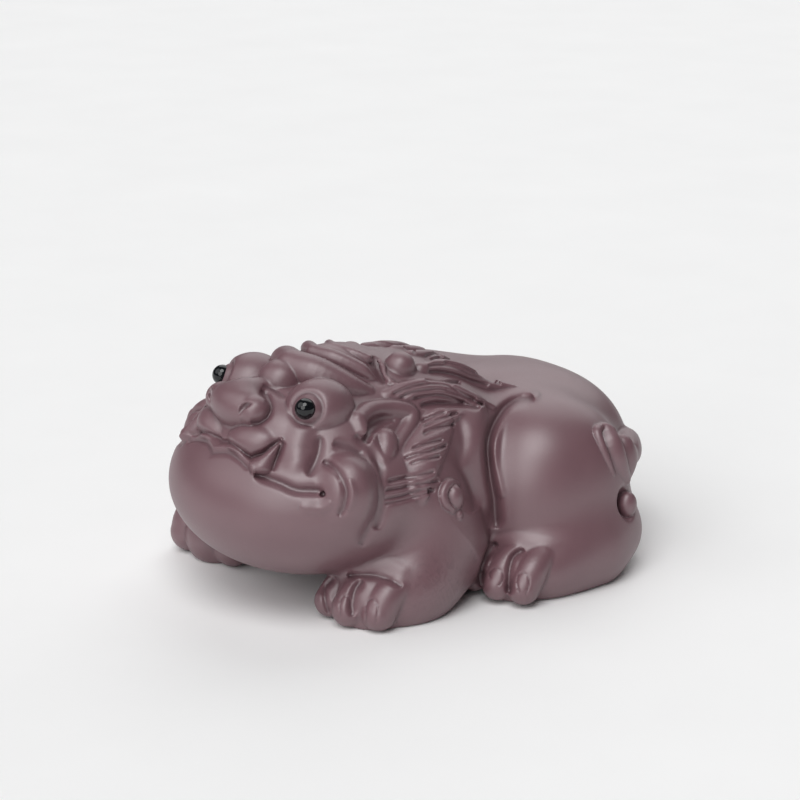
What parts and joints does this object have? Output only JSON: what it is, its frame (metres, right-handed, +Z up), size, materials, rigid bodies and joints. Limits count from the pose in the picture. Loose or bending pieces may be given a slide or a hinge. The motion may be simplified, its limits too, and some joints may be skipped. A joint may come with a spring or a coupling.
{
  "type": "tea pet",
  "caption": "Crouching beast figurine of unglazed purple clay with a broad grin, brows with round black bead eyes, a combed mane and a curled tail, standing flat on its paws",
  "frame": {"origin": "middle of the bounding box on the table's plane, under the belly", "axes": "+Z up, the head looks along -Y, the pet's left flank is on +X"},
  "size_m": [0.07, 0.0902, 0.0436],
  "materials": {
    "purple_clay": "unglazed fired purple clay, fine grained and matt with a soft sheen",
    "black_bead": "opaque black glass, polished"
  },
  "bodies": {
    "root": {"clay_body": "purple_clay", "eye_left": "black_bead", "eye_right": "black_bead"}
  },
  "joints": []
}
